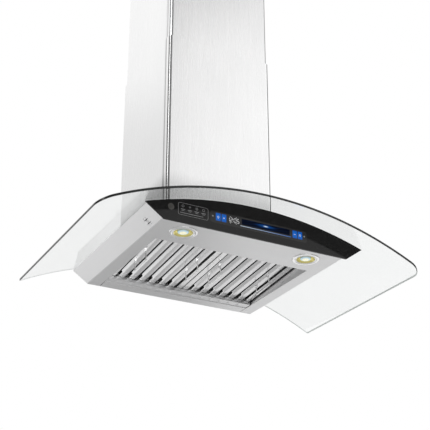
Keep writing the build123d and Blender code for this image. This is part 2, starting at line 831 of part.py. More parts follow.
def make_blower_wheel():
    """A double-inlet drum: a centre disc, a ring at each end and forward-curved blades between them."""
    inner = wheel_radius - 13
    wheel = rod(wheel_radius, (-1, 0, 0), (1, 0, 0)) + rod(11, (-9, 0, 0), (9, 0, 0))
    for low in (-wheel_half, wheel_half - 2.5):
        wheel += rod(wheel_radius, (low, 0, 0), (low + 2.5, 0, 0)) - rod(inner, (low - 1, 0, 0), (low + 4, 0, 0))
    curve = ThreePointArc((inner + 0.5, 0), (inner + 7.5, 2.2), (wheel_radius - 0.6, 6.5))
    back = ThreePointArc((inner + 0.5, 1.0), (inner + 7.2, 3.2), (wheel_radius - 1.3, 7.3))
    ends = [Line(curve @ 0, back @ 0), Line(curve @ 1, back @ 1)]
    blade = across_x(make_face([*curve.edges(), *back.edges(), *ends]), -wheel_half + 1, wheel_half - 1)
    wheel += [Rot(360 / blade_count * index, 0, 0) * blade for index in range(blade_count)]
    wheel -= rod(shaft_radius, (-20, 0, 0), (20, 0, 0))
    return Pos(0, -blower_y, blower_z) * wheel


def make_motor_shaft():
    return Pos(0, -blower_y, blower_z) * rod(shaft_radius, (-12, 0, 0), (40, 0, 0))


def make_motor():
    body = rod(42, (14, 0, 0), (motor_back, 0, 0))
    body = fillet(body.edges().filter_by(GeomType.CIRCLE).sort_by(Axis.X)[0], 6)
    for index in range(12):
        body -= Rot(30 * index, 0, 0) * Pos(36, 0, 41) * Box(26, 5, 4)
    body -= rod(shaft_radius + pin_clearance, (0, 0, 0), (42, 0, 0))
    return Pos(0, -blower_y, blower_z) * body


def make_motor_mount():
    """A three-armed spider over the right inlet that carries the motor."""
    face = scroll_half + 1.5
    spider = rod(34, (motor_back, 0, 0), (face + 2, 0, 0))
    for turn in (90, 210, 330):
        spider += Rot(turn, 0, 0) * block((face, face + 2), (-7, 7), (20, 72))
    return Pos(0, -blower_y, blower_z) * spider


# Duct outlet and its backdraught flaps
def make_duct_collar():
    low = collar_base
    centre = Pos(0, collar_y, 0)
    base = block((-82, 82), (collar_y - 82, collar_y + 82), (scroll_top, low))
    tube = centre * Pos(0, 0, low + collar_height / 2) * Cylinder(collar_radius, collar_height)
    bore = centre * Pos(0, 0, low + collar_height / 2) * Cylinder(collar_radius - collar_wall, collar_height + 40)
    pins = [rod(flap_pin + 0.05, (-90, collar_y + y, flap_z), (90, collar_y + y, flap_z)) for y in (-4, 4)]
    return base + tube - bore - pins[0] - pins[1]


def make_damper_pins():
    length = collar_radius - 0.4
    return [rod(flap_pin, (-length, collar_y + y, flap_z), (length, collar_y + y, flap_z)) for y in (-4, 4)]


def make_flap(side):
    """A half-round flap with a barrel on its own pin; side is -1 for the front one."""
    reach = collar_radius - collar_wall - 2.0
    axis_y = 4 * side
    disc = Cylinder(reach, 1.0)
    keep = block((-80, 80), (axis_y, 90) if side > 0 else (-90, axis_y), (-1, 1))
    flap = disc & keep
    barrel = rod(2.9, (-66, axis_y, 0), (66, axis_y, 0))
    flap = flap + barrel - rod(flap_pin + pin_clearance, (-80, axis_y, 0), (80, axis_y, 0))
    return Pos(0, collar_y, flap_z) * flap


# Electrics
def make_control_box():
    inner_front = body_front - sheet
    inner_rear = body_front - 97
    box = block((-105, 105), (-inner_front, -inner_rear), (20, 64))
    box -= block((-104, 104), (-inner_front + 1, -inner_rear - 1), (21, 63))
    for index in range(6):
        box -= Pos(-60 + index * 24, -inner_rear, 42) * Box(12, 6, 20)
    return box


def make_cable_gland():
    base = Pos(0, -33, deck_top)
    hexagon = Pos(0, 0, 0) * extrude(RegularPolygon(11, 6), 6)
    dome = Pos(0, 0, 6) * Cylinder(8.5, 9, align=(Align.CENTER, Align.CENTER, Align.MIN))
    dome = fillet(dome.edges().group_by(Axis.Z)[-1], 3)
    thread = Pos(0, 0, -4) * Cylinder(7.9, 8)
    return base * (hexagon + dome + thread - Cylinder(4.2, 60))


def build():
    os.makedirs("parts", exist_ok=True)
    save("body_shell", make_body_shell())
    left_panel = make_side_panel()
    save("left_side_panel", left_panel)
    save("right_side_panel", mirror_x(left_panel))
    save("bottom_panel", make_bottom_panel())
    save("filter_surround", make_filter_surround())
    save("filter_catches", *make_filter_catches())
    save("motor_deck", make_motor_deck())

    save("glass_canopy", make_glass_canopy())
    save("glass_gaskets", *make_glass_gaskets())
    save("glass_screws", *make_glass_screws())

    screen, keys = make_display_screen(), make_touch_keys()
    signs, digits, dots = key_signs(), make_clock_digits(), make_indicator_dots()
    sensor, icons = make_sensor_window(), make_mode_icons()
    save("display_screen", *screen)
    save("touch_keys", *keys)
    save("clock_digits", *digits)
    save("sensor_window", sensor)
    save("white_marks", *icons, *signs, *dots)
    save("display_panel", make_display_panel([*screen, *digits, *dots]))
    save("fascia_glass", make_fascia_glass([sensor, *icons]))
    save("fascia_bracket", make_fascia_bracket())
    save("control_board", make_control_board())

    for name, shape in zip(("lower_chimney_front", "lower_chimney_rear"), make_lower_chimney()):
        save(name, shape)
    for name, shape in zip(("upper_chimney_front", "upper_chimney_rear"), make_upper_chimney()):
        save(name, shape)
    save("top_bracket", make_top_bracket())
    save("bracket_screws", *make_bracket_screws())
    save("hanging_plate", make_hanging_plate())
    save("body_screws", *make_body_screws())

    for side, x in (("left", -lamp_x), ("right", lamp_x)):
        for name, shape in zip(("bezel", "reflector", "lens", "heat_sink"), make_lamp(x)):
            save(f"{side}_lamp_{name}", shape)

    frame, lower, upper = make_filter_frame(), make_lower_baffles(), make_upper_baffles()
    clips = make_handle_clips(lower)
    for side, sign in (("left", -1), ("right", 1)):
        place = filter_place(sign)
        save(f"{side}_filter_frame", place * frame)
        save(f"{side}_lower_baffles", *[place * piece for piece in lower])
        save(f"{side}_upper_baffles", *[place * piece for piece in upper])
        save(f"{side}_handle_clips", *[place * piece for piece in clips])
        for number, x in zip(("one", "two"), handle_places()):
            save(f"{side}_handle_{number}", place * make_handle(x))

    save("grease_tray", make_grease_tray())
    save("scroll_housing", make_scroll_housing())
    save("inlet_rings", *make_inlet_rings())
    save("blower_wheel", make_blower_wheel())
    save("motor_shaft", make_motor_shaft())
    save("motor", make_motor())
    save("motor_mount", make_motor_mount())
    save("duct_collar", make_duct_collar())
    save("damper_pins", *make_damper_pins())
    save("front_damper_flap", make_flap(-1))
    save("rear_damper_flap", make_flap(1))
    save("control_box", make_control_box())
    save("cable_gland", make_cable_gland())


build()
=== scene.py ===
import math

import bmesh
import bpy
from mathutils import Matrix, Vector


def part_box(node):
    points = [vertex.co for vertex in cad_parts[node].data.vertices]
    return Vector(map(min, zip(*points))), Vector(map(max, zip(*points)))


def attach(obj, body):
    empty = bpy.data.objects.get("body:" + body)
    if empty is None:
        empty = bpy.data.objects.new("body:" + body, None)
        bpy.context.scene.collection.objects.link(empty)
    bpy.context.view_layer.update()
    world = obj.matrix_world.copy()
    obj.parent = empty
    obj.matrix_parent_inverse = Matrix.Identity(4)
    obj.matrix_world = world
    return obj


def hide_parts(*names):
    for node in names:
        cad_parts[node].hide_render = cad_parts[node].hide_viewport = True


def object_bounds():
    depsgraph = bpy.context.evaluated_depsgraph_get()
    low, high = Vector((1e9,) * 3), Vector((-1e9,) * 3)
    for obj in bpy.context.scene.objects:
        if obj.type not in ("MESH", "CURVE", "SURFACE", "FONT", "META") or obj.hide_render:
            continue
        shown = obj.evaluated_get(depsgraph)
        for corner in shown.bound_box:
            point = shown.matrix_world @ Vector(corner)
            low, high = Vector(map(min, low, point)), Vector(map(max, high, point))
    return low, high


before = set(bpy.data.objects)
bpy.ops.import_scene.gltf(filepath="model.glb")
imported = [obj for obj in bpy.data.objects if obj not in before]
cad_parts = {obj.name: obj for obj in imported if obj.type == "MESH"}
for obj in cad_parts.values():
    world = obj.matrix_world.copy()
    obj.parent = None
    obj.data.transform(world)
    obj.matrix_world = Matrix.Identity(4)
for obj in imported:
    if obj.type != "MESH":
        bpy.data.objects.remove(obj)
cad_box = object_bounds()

# A chimney range hood, in metres. X runs to the cook's right, Y towards the wall and Z up.
# The origin is the middle of the four wall bolts.

mm = 0.001
cad_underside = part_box("bottom_panel")[0].z
glass_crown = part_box("glass_canopy")[1].z
lamp_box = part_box("right_lamp_bezel")
lamp_middle = (lamp_box[0] + lamp_box[1]) / 2


# ---------------------------------------------------------------- shader maths
class Wire:
    """A node's output. Arithmetic on wires adds Math nodes to the tree they belong to."""

    def __init__(self, nodes, socket):
        self.nodes = nodes
        self.socket = socket

    def maths(self, operation, *values):
        return self.nodes.node("ShaderNodeMath", {"operation": operation}, dict(enumerate(values)))

    def __add__(self, other):
        return self.maths("ADD", self, other)

    def __radd__(self, other):
        return self.maths("ADD", other, self)

    def __sub__(self, other):
        return self.maths("SUBTRACT", self, other)

    def __rsub__(self, other):
        return self.maths("SUBTRACT", other, self)

    def __mul__(self, other):
        return self.maths("MULTIPLY", self, other)

    def __rmul__(self, other):
        return self.maths("MULTIPLY", other, self)

    def __truediv__(self, other):
        return self.maths("DIVIDE", self, other)

    def __rtruediv__(self, other):
        return self.maths("DIVIDE", other, self)

    def __pow__(self, other):
        return self.maths("POWER", self, other)

    def size(self):
        return self.maths("ABSOLUTE", self)

    def root(self):
        return self.maths("SQRT", self)

    def sine(self):
        return self.maths("SINE", self)

    def below(self, edge):
        return self.maths("LESS_THAN", self, edge)

    def above(self, edge):
        return self.maths("GREATER_THAN", self, edge)

    def clamped(self):
        return self.maths("MINIMUM", self.maths("MAXIMUM", self, 0.0), 1.0)

    def fade(self, low, high):
        """A smooth step from 0 at low to 1 at high."""
        settings = {"interpolation_type": "SMOOTHSTEP"}
        values = {"Value": self, "From Min": low, "From Max": high}
        return self.nodes.node("ShaderNodeMapRange", settings, values)


class Nodes:
    """A node tree of a material or of the world."""

    def __init__(self, tree):
        self.tree = tree

    def feed(self, socket, value):
        if isinstance(value, Wire):
            self.tree.links.new(value.socket, socket)
        else:
            socket.default_value = value

    def node(self, kind, settings=None, values=None, out=0):
        """Adds a node: its settings first, then its sockets' values or wires."""
        made = self.tree.nodes.new(kind)
        for key, value in (settings or {}).items():
            setattr(made, key, value)
        for key, value in (values or {}).items():
            self.feed(made.inputs[key], value)
        return Wire(self, made.outputs[out])

    def split(self, vector):
        """A vector's x, y and z, as three wires."""
        parts = self.node("ShaderNodeSeparateXYZ", None, {"Vector": vector})
        return [Wire(self, output) for output in parts.socket.node.outputs]

    def mix(self, share, first, second):
        """A colour between two colours."""
        values = {"Factor": share, 6: first, 7: second}
        return self.node("ShaderNodeMix", {"data_type": "RGBA"}, values, out=2)


class Finish(Nodes):
    """A material made of one Principled shader and the nodes that feed it."""

    def __init__(self, name, **constants):
        self.material = bpy.data.materials.new(name)
        self.material.use_nodes = True
        super().__init__(self.material.node_tree)
        self.shader = self.tree.nodes["Principled BSDF"]
        for socket, value in constants.items():
            self.set(socket.replace("_", " "), value)

    def set(self, socket, value):
        """Sets one of the shader's own sockets to a constant or a wire."""
        self.feed(self.shader.inputs[socket], value)
        return self

    def place(self):
        """The point in the hood's own frame, as a vector wire."""
        return self.node("ShaderNodeTexCoord", out="Object")

    def axes(self):
        """The point in the hood's own frame, as three wires."""
        return self.split(self.place())

    def stretched(self, scale):
        """The point in the hood's own frame, scaled differently along each axis."""
        return self.node("ShaderNodeVectorMath", {"operation": "MULTIPLY"}, {0: self.place(), 1: scale})

    def noise(self, scale, detail=2.0, roughness=0.5):
        values = {"Vector": self.stretched(scale), "Scale": 1.0, "Detail": detail, "Roughness": roughness}
        return self.node("ShaderNodeTexNoise", None, values)

    def bump(self, height, distance, strength=1.0):
        values = {"Height": height, "Distance": distance, "Strength": strength}
        return self.set("Normal", self.node("ShaderNodeBump", None, values))


def grey(value, tint=(1.0, 1.0, 1.0)):
    return (value * tint[0], value * tint[1], value * tint[2], 1.0)


# ---------------------------------------------------------------- finishes
across_grain = 1400.0
along_grain = 9.0
grain_scales = {
    "x": (along_grain, across_grain, across_grain),
    "y": (across_grain, along_grain, across_grain),
    "z": (across_grain, across_grain, along_grain),
}
band_share = 0.16
mottle_scale = (7.0, 7.0, 5.0)
hair_depth = 0.02 * mm


def brushing(steel, grain):
    """Hairlines along one axis, wider bands of the same grain and a soft mottle."""
    scale = grain_scales[grain]
    hair = steel.noise(scale, 3.0, 0.6)
    band = steel.noise(tuple(value * band_share for value in scale), 2.0, 0.5)
    cloud = steel.noise(mottle_scale, 2.0, 0.5)
    return hair, band, cloud


def brushed_steel(name, grain, tone, rough, streaks=0.10, tint=(1.0, 1.0, 1.005)):
    """Stainless sheet with hairlines along one axis, faint wider bands and a soft mottle."""
    steel = Finish(name, Metallic=1.0)
    hair, band, cloud = brushing(steel, grain)
    shade = (hair - 0.5) * streaks + (band - 0.5) * streaks * 0.8 + (cloud - 0.5) * 0.05 + 0.5
    dark = grey(tone - 0.12, tint)
    light = grey(min(tone + 0.12, 0.98), tint)
    steel.set("Base Color", steel.mix(shade.clamped(), dark, light))
    steel.set("Roughness", rough + (hair - 0.5) * 0.16 + (cloud - 0.5) * 0.06)
    steel.bump(hair, hair_depth, 0.5)
    return steel.material


def chimney_steel(name):
    """The covers' brushed sheet: burnished round its bends, with painted shade low down where it nears the
    glass, stronger on its side faces, in a band along the seam and on the parts inside the lower cover."""
    bend = 10 * mm
    # How high above the glass the painted shade reaches, and over what height it fades out.
    shade_height = 165 * mm
    shade_fade = 60 * mm
    sheet = 0.6 * mm
    rear_margin = 6 * mm
    top_margin = 1 * mm
    # Where the band of painted shade along the seam lies, and how wide it is.
    seam_inset = 3.5 * mm
    seam_reach = 5 * mm
    side_fade = 0.5
    steel = Finish(name, Metallic=1.0)
    x, y, z = steel.axes()
    hair, band, cloud = brushing(steel, "z")
    low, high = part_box("lower_chimney_front")
    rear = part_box("lower_chimney_rear")[1].y
    folded = x.size().above(high.x - bend) * y.below(low.y + bend)
    shade_top = glass_crown + shade_height
    # Painted shade on the covers' lowest part, near the glass, fading out upwards.
    base_shade = 1.0 - z.fade(shade_top - shade_fade, shade_top)
    side_face = y.above(low.y + bend)
    shade = (hair - 0.5) * 0.07 + (band - 0.5) * 0.05 + (cloud - 0.5) * 0.04 + 0.5
    bright = steel.mix(shade.clamped(), grey(0.70), grey(0.90))
    # Painted shade on the parts of the covers that sit inside the lower cover.
    inside = x.size().below(high.x - sheet) * y.above(low.y + sheet) * y.below(rear - rear_margin)
    inside = inside * z.below(high.z - top_margin)
    # Painted shade in a narrow band along the seam on the side faces, for the shade in the fold there.
    seam = 1.0 - ((y - high.y + seam_inset).size() / seam_reach).fade(0.4, 1.0)
    # Painted shade: the part near the glass, stronger on the side faces, and the side faces a little darker
    # low down.
    painted_shade = base_shade * (0.24 + side_face * 0.16) + side_face * (1.0 - z.fade(0.0, side_fade)) * 0.06
    painted_shade = (painted_shade + seam * side_face * 0.45 + inside * 0.5).clamped()
    steel.set("Base Color", steel.mix(painted_shade, bright, grey(0.05)))
    steel.set("Roughness", 0.28 + (hair - 0.5) * 0.16 + (cloud - 0.5) * 0.06 - folded * 0.12)
    steel.bump(hair, hair_depth, 0.5)
    return steel.material


def rolled_steel(name, tone, rough):
    """Bright pressed sheet, smooth, with faint handling marks."""
    steel = Finish(name, Metallic=1.0)
    cloud = steel.noise((26.0, 26.0, 26.0), 3.0, 0.55)
    speck = steel.noise((700.0, 700.0, 700.0), 2.0, 0.5)
    steel.set("Base Color", steel.mix(cloud, grey(tone - 0.05), grey(tone + 0.05)))
    steel.set("Roughness", rough + (cloud - 0.5) * 0.10 + (speck - 0.5) * 0.04)
    steel.bump(speck, 0.01 * mm, 0.3)
    return steel.material


def zinc_plate(name):
    """Galvanised sheet with its spangle."""
    zinc = Finish(name, Metallic=1.0)
    cells = zinc.node("ShaderNodeTexVoronoi", None, {"Vector": zinc.place(), "Scale": 130.0}, out="Color")
    tone = zinc.node("ShaderNodeSeparateColor", None, {"Color": cells})
    zinc.set("Base Color", zinc.mix(tone, grey(0.50, (1, 1.01, 1.03)), grey(0.66, (1, 1.01, 1.03))))
    zinc.set("Roughness", 0.36 + tone * 0.16)
    return zinc.material


glass_cast = (0.99, 1.0, 0.998)
rim_cast = (0.9, 1.0, 0.96)
lit_rim_cast = (0.96, 1.0, 0.98)
grind_scale = (500.0, 500.0, 500.0)


def clear_glass(name):
    """Clear float glass with a faint cast, painted darker towards its left as shade, and the lightest of
    smears.
    """
    glass = Finish(name, Roughness=0.0, IOR=1.45, Transmission_Weight=1.0)
    smear = glass.noise((5.0, 9.0, 9.0), 3.0, 0.6)
    x = glass.axes()[0]
    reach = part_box("glass_canopy")[1].x
    # Painted shade: the glass is tinted darker towards its left.
    across = (x / reach * 0.5 + 0.5).fade(0.0, 0.75)
    tone = across * 0.8 + smear * 0.2
    glass.set("Base Color", glass.mix(tone, grey(0.82, glass_cast), grey(0.985, glass_cast)))
    return glass.material


def rim_painted_dark(name):
    """The glass's ground and polished rim where it faces the front and the left, painted almost black as
    shade.
    """
    rim = Finish(name, Roughness=0.22, IOR=1.45)
    grind = rim.noise(grind_scale, 2.0, 0.5)
    rim.set("Base Color", rim.mix(grind, grey(0.008, rim_cast), grey(0.022, rim_cast)))
    return rim.material


def rim_painted_lit(name):
    """The same rim to the right and the rear, with a painted highlight: pale grey with a trace of green, and
    a faint painted glow.
    """
    rim = Finish(name, Roughness=0.2, IOR=1.45, Emission_Strength=1.0)
    grind = rim.noise(grind_scale, 2.0, 0.5)
    rim.set("Base Color", rim.mix(grind, grey(0.72, lit_rim_cast), grey(0.84, lit_rim_cast)))
    # Painted glow, though the rim is no lamp.
    rim.set("Emission Color", grey(0.22, lit_rim_cast))
    return rim.material


def black_glass(name):
    """Tinted glass printed black from behind."""
    glass = Finish(name, IOR=1.5, Specular_IOR_Level=0.2)
    haze = glass.noise((18.0, 18.0, 18.0), 3.0, 0.55)
    glass.set("Base Color", glass.mix(haze, grey(0.009), grey(0.013)))
    glass.set("Roughness", 0.07 + haze * 0.05)
    return glass.material


def tinted_film(name):
    """The slightly lighter film behind the keys and the screen."""
    film = Finish(name, IOR=1.45, Specular_IOR_Level=0.3)
    weave = film.noise((900.0, 900.0, 900.0), 1.0, 0.5)
    film.set("Base Color", film.mix(weave, grey(0.018), grey(0.028)))
    film.set("Roughness", 0.16 + weave * 0.08)
    return film.material


def plastic(name, tone, rough, tint=(1.0, 1.0, 1.0), texture=0.03 * mm):
    """Moulded plastic with a fine spark-eroded texture."""
    part = Finish(name, IOR=1.46)
    grit = part.noise((1300.0, 1300.0, 1300.0), 2.0, 0.6)
    cloud = part.noise((30.0, 30.0, 30.0), 2.0, 0.5)
    part.set("Base Color", part.mix(cloud, grey(tone * 0.86, tint), grey(tone * 1.12, tint)))
    part.set("Roughness", rough + (grit - 0.5) * 0.14)
    part.bump(grit, texture, 0.5)
    return part.material


def printed_white(name):
    """White print, lit from behind on the keys and the clock, and plain grey near the panel's two ends."""
    ink = Finish(name, Roughness=0.4, Emission_Strength=1.0)
    fleck = ink.noise((2500.0, 2500.0, 2500.0), 1.0, 0.5)
    x = ink.axes()[0]
    low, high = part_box("display_panel")
    dot_zone = 14 * mm
    cool = (0.95, 0.98, 1.0)
    lit = x.above(low.x + dot_zone) * x.below(high.x - dot_zone)
    ink.set("Base Color", ink.mix(lit, ink.mix(fleck, grey(0.20), grey(0.26)), grey(0.60)))
    glow = ink.mix(fleck, grey(0.27, cool), grey(0.30, cool))
    ink.set("Emission Color", ink.mix(lit, grey(0.03, cool), glow))
    return ink.material


def lit_key(name):
    """Blue keys, lit from behind and a little brighter towards their middles."""
    key = Finish(name, Roughness=0.22, Specular_IOR_Level=0.15, Emission_Strength=1.0)
    z = key.axes()[2]
    low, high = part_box("touch_keys")
    middle = (low.z + high.z) / 2
    reach = (high.z - low.z) / 2
    falloff = ((z - middle) / reach).size() ** 2.0
    key.set("Base Color", key.mix(falloff, (0.004, 0.05, 0.22, 1), (0.003, 0.03, 0.14, 1)))
    key.set("Emission Color", key.mix(falloff, (0.003, 0.085, 0.36, 1), (0.002, 0.055, 0.27, 1)))
    return key.material


def lit_screen(name):
    """A dark blue screen with a soft star of light at its middle, over a line from white to blue."""
    screen = Finish(name, Roughness=0.12, Specular_IOR_Level=0.02, Emission_Strength=1.0)
    star_inset = 0.8 * mm
    star_drop = 6.4 * mm
    glow_width = 46 * mm
    glow_height = 7 * mm
    line_height = 2 * mm
    x, _, z = screen.axes()
    low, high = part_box("display_screen")
    across = (x - ((low.x + high.x) / 2 - star_inset)) / glow_width
    up = (z - (high.z - star_drop)) / glow_height
    glow = 1.0 - (across * across + up * up).root().fade(0.0, 1.0)
    core = 1.0 - (across * across * 20.0 + up * up * 9.0).root().fade(0.0, 1.0)
    streaks = ((x * 140.0 - z * 900.0).sine() * 0.5 + 0.5) ** 6.0
    haze = (glow * glow * 0.6 + streaks * (1.0 - (across * 0.6).size()).clamped() * 0.10).clamped()
    body = screen.mix(haze, (0.0006, 0.002, 0.008, 1), (0.006, 0.11, 0.46, 1))
    lit = screen.mix((core ** 1.2).clamped(), body, (0.70, 0.88, 1.0, 1))
    line = z.below(low.z + line_height)
    span = (x - low.x) / (high.x - low.x)
    streak = screen.mix(span.clamped(), (0.55, 0.65, 0.75, 1), (0.04, 0.16, 0.55, 1))
    screen.set("Base Color", (0.0005, 0.001, 0.003, 1))
    screen.set("Emission Color", screen.mix(line, lit, streak))
    return screen.material


def from_lamp(finish):
    """A wire: how far the point is from the middle of the nearer lamp, in plan."""
    x, y, _ = finish.axes()
    across = x.size() - lamp_middle.x
    along = y - lamp_middle.y
    return (across * across + along * along).root()


def lamp_mirror(name):
    """The lamp's gold reflector, dappled, with a painted glow that stands for the light of the lens inside
    it.
    """
    mirror = Finish(name, Metallic=1.0, Emission_Strength=1.0)
    dapple = mirror.noise((420.0, 420.0, 420.0), 2.0, 0.5)
    mirror.set("Base Color", mirror.mix(dapple, (0.50, 0.42, 0.12, 1), (0.80, 0.72, 0.34, 1)))
    # Painted glow: brighter near the lens, fading outwards, as if lit by it.
    outwards = from_lamp(mirror).fade(16 * mm, 22 * mm)
    glow = mirror.mix(outwards, (0.34, 0.30, 0.08, 1), (0.05, 0.05, 0.02, 1))
    mirror.set("Emission Color", mirror.mix(dapple, glow, (0.10, 0.09, 0.02, 1)))
    mirror.set("Roughness", 0.16 + dapple * 0.14)
    mirror.bump(dapple, 0.1 * mm, 0.5)
    return mirror.material


def lamp_glow(name):
    """The lit lens: cream in its middle, with a cool ring round that and a darker seat at its rim."""
    lens = Finish(name, Roughness=0.12, Emission_Strength=1.0)
    radius = from_lamp(lens)
    chips = lens.node("ShaderNodeTexVoronoi", None, {"Vector": lens.place(), "Scale": 260.0}, out="Distance")
    cream = lens.mix((chips * 1.6).clamped(), (0.92, 0.88, 0.60, 1), (0.62, 0.60, 0.40, 1))
    cool = lens.mix(radius.fade(8 * mm, 10 * mm), cream, (0.30, 0.46, 0.55, 1))
    lens.set("Base Color", grey(0.25, (0.95, 0.98, 1.0)))
    lens.set("Emission Color", lens.mix(radius.fade(12.6 * mm, 14.4 * mm), cool, (0.10, 0.14, 0.13, 1)))
    return lens.material


def circuit_board(name):
    """Green lacquer over copper tracks."""
    board = Finish(name, Roughness=0.35)
    face = board.stretched((1.0, 0.0, 1.0))
    values = {"Vector": face, "Scale": 160.0, "Mortar Size": 0.06}
    tracks = board.node("ShaderNodeTexBrick", None, values, out="Fac")
    board.set("Base Color", board.mix(tracks, (0.01, 0.09, 0.03, 1), (0.03, 0.20, 0.07, 1)))
    return board.material


def floor_finish(name):
    """Pale matt floor."""
    floor = Finish(name)
    cloud = floor.noise((1.3, 1.3, 1.3), 3.0, 0.5)
    floor.set("Base Color", floor.mix(cloud, grey(0.78), grey(0.82)))
    floor.set("Roughness", 0.75 + cloud * 0.1)
    return floor.material


finishes = {
    "chimney_steel": chimney_steel("chimney_steel"),
    "underside_steel": brushed_steel("underside_steel", "x", 0.67, 0.34),
    "side_steel": brushed_steel("side_steel", "y", 0.88, 0.32),
    "baffle_steel": brushed_steel("baffle_steel", "y", 0.70, 0.24, 0.05),
    # A dark tone on the upper baffles: painted shade for the slots between the lower baffles.
    "slot_shade_steel": rolled_steel("slot_shade_steel", 0.24, 0.40),
    "bright_wire": rolled_steel("bright_wire", 0.94, 0.38),
    "bezel_steel": rolled_steel("bezel_steel", 0.80, 0.12),
    "rim_painted_lit": rim_painted_lit("rim_painted_lit"),
    "bright_steel": rolled_steel("bright_steel", 0.84, 0.18),
    "filter_steel": rolled_steel("filter_steel", 0.84, 0.26),
    "zinc": zinc_plate("zinc"),
    "clear_glass": clear_glass("clear_glass"),
    "rim_painted_dark": rim_painted_dark("rim_painted_dark"),
    "black_glass": black_glass("black_glass"),
    "tinted_film": tinted_film("tinted_film"),
    "lit_screen": lit_screen("lit_screen"),
    "lit_key": lit_key("lit_key"),
    "printed_white": printed_white("printed_white"),
    "sensor_dark": plastic("sensor_dark", 0.075, 0.2, (1.0, 0.97, 0.9), 0.005 * mm),
    "silicone": plastic("silicone", 0.55, 0.5),
    "board_green": circuit_board("board_green"),
    "lamp_mirror": lamp_mirror("lamp_mirror"),
    "lamp_glow": lamp_glow("lamp_glow"),
    "cast_alloy": rolled_steel("cast_alloy", 0.6, 0.5),
    "dark_plastic": plastic("dark_plastic", 0.05, 0.5),
    "motor_paint": plastic("motor_paint", 0.10, 0.4),
}

# The finish of each CAD node that shows. The others have pieces that stand for them, further down.
node_finishes = {
    "chimney_steel": [
        "lower_chimney_front", "lower_chimney_rear", "upper_chimney_front", "upper_chimney_rear",
    ],
    "underside_steel": ["bottom_panel", "grease_tray", "filter_surround"],
    "side_steel": ["left_side_panel", "right_side_panel", "body_shell"],
    "slot_shade_steel": ["left_upper_baffles", "right_upper_baffles"],
    # The upper baffles carry the dark tone that stands as painted shade in the slots.
    "bright_steel": [
        "left_handle_clips", "right_handle_clips", "glass_screws", "body_screws", "bracket_screws",
        "filter_catches", "damper_pins", "motor_shaft",
    ],
    "filter_steel": ["left_filter_frame", "right_filter_frame"],
    "zinc": [
        "hanging_plate", "top_bracket", "motor_deck", "scroll_housing", "motor_mount", "control_box",
        "fascia_bracket", "front_damper_flap", "rear_damper_flap",
    ],
    "black_glass": ["fascia_glass"],
    "tinted_film": ["display_panel"],
    "lit_screen": ["display_screen"],
    "lit_key": ["touch_keys"],
    "printed_white": ["white_marks", "clock_digits"],
    "sensor_dark": ["sensor_window"],
    "silicone": ["glass_gaskets"],
    "board_green": ["control_board"],
    "cast_alloy": ["left_lamp_heat_sink", "right_lamp_heat_sink"],
    "dark_plastic": ["inlet_rings", "duct_collar", "cable_gland", "blower_wheel"],
    "motor_paint": ["motor"],
}


def dress_nodes():
    for finish, nodes in node_finishes.items():
        for node in nodes:
            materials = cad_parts[node].data.materials
            materials.clear()
            materials.append(finishes[finish])


# ---------------------------------------------------------------- pieces that stand for CAD nodes
sharp_angle = math.radians(50.0)
weld_distance = 0.01 * mm
same_spot = 1e-7


def add_piece(name, points, faces, finish_names, picks=None):
    """A mesh that is smooth but for its sharp edges; picks gives each face's place in finish_names."""
    mesh = bpy.data.meshes.new(name)
    mesh.from_pydata(points, [], faces)
    for finish in finish_names:
        mesh.materials.append(finishes[finish])
    if picks:
        mesh.polygons.foreach_set("material_index", picks)
    mesh.polygons.foreach_set("use_smooth", [True] * len(mesh.polygons))
    mesh.set_sharp_from_angle(angle=sharp_angle)
    mesh.update()
    piece = bpy.data.objects.new(name, mesh)
    bpy.context.scene.collection.objects.link(piece)
    return piece


def finish_mesh(piece):
    """Joins doubled points, and lets the large faces set the shading at their edges."""
    piece.modifiers.new("weld", "WELD").merge_threshold = weld_distance
    normals = piece.modifiers.new("normals", "WEIGHTED_NORMAL")
    normals.weight = 100
    normals.keep_sharp = True


def stand_in(piece, body, slot, *nodes):
    """Puts a piece on its body in place of these CAD nodes, which it hides. The slot is not used."""
    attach(piece, body)
    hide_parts(*nodes)


# Canopy glass: its plan is a list of columns from left to right, each with a front and a rear end.
arch_radius = 970 * mm
glass_thickness = 6 * mm
glass_front_corner = 36 * mm
glass_rear_corner = 5 * mm
notch_half = 165.5 * mm
notch_depth = 289 * mm
notch_corner = 12 * mm
notch_columns = 12
corner_columns = 8
wing_columns = 26
end_columns = 24
# Rim faces turned towards this side take the painted shade, the others the painted highlight.
shaded_side = Vector((-0.6, -0.8))
# (inset of the rim, height through the thickness) in millimetres, from the top face to the underside
rim_outline = [(1.1, 6.0), (0.35, 5.65), (0.0, 4.9), (0.0, 1.1), (0.35, 0.35), (1.1, 0.0)]


def spread(low, high, count):
    return [low + (high - low) * step / count for step in range(count + 1)]


def half_columns(inset):
    """(x, front y, rear y) from the middle to the right edge; the rear steps back at the notch's side."""
    low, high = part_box("glass_canopy")
    half = high.x - inset
    front = low.y + inset
    rear = high.y - inset
    notch_front = high.y - notch_depth - inset
    corner = notch_corner + inset
    middle = notch_half + inset - corner
    columns = [(x, front, notch_front) for x in spread(0.0, middle, notch_columns)[:-1]]
    for turn in spread(0.0, math.pi / 2, corner_columns):
        columns.append((middle + corner * math.sin(turn), front, notch_front + corner * (1 - math.cos(turn))))
    bend = glass_front_corner - inset
    small = glass_rear_corner - inset
    columns += [(x, front, rear) for x in spread(notch_half + inset, half - bend, wing_columns)[:-1]]
    for turn in spread(0.0, math.pi / 2, end_columns):
        x = half - bend + bend * math.sin(turn)
        past = max(x - (half - small), 0.0)
        drop = small - math.sqrt(max(small * small - past * past, 0.0))
        columns.append((x, front + bend * (1 - math.cos(turn)), rear - drop))
    return columns


